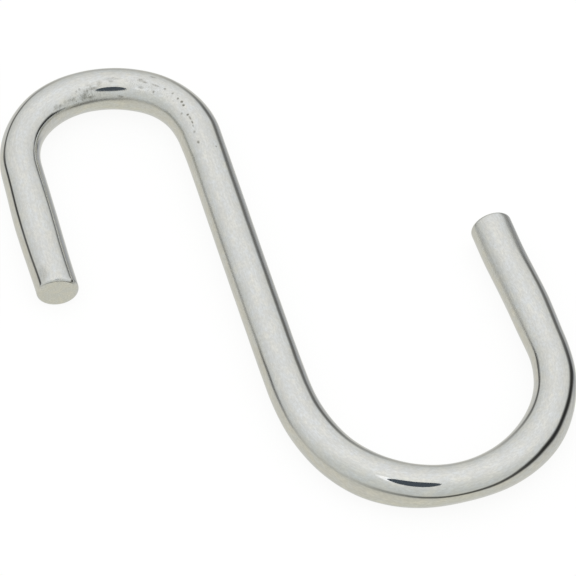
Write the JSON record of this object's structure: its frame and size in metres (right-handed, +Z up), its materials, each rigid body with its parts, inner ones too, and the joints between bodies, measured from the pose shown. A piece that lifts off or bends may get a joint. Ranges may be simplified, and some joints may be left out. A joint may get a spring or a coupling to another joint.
{
  "type": "s hook",
  "caption": "Round steel wire bent into an open S: a straight shank between a smaller and a larger U-shaped hook, each with a straight leg and a flat cut end.",
  "frame": {"origin": "centre of the hook's outline, on the surface that it lies on", "axes": "+Y along the shank towards the small hook, +X towards the large hook's leg, +Z up out of the plane that the hook is bent in"},
  "size_m": [0.0746, 0.0898, 0.0063],
  "materials": {
    "zinc_plated_steel": "bright zinc plate over drawn steel wire, near mirror, with fine drawing lines and a few dark pits round the small bend"
  },
  "bodies": {
    "root": {"s_hook": "zinc_plated_steel"}
  },
  "joints": []
}
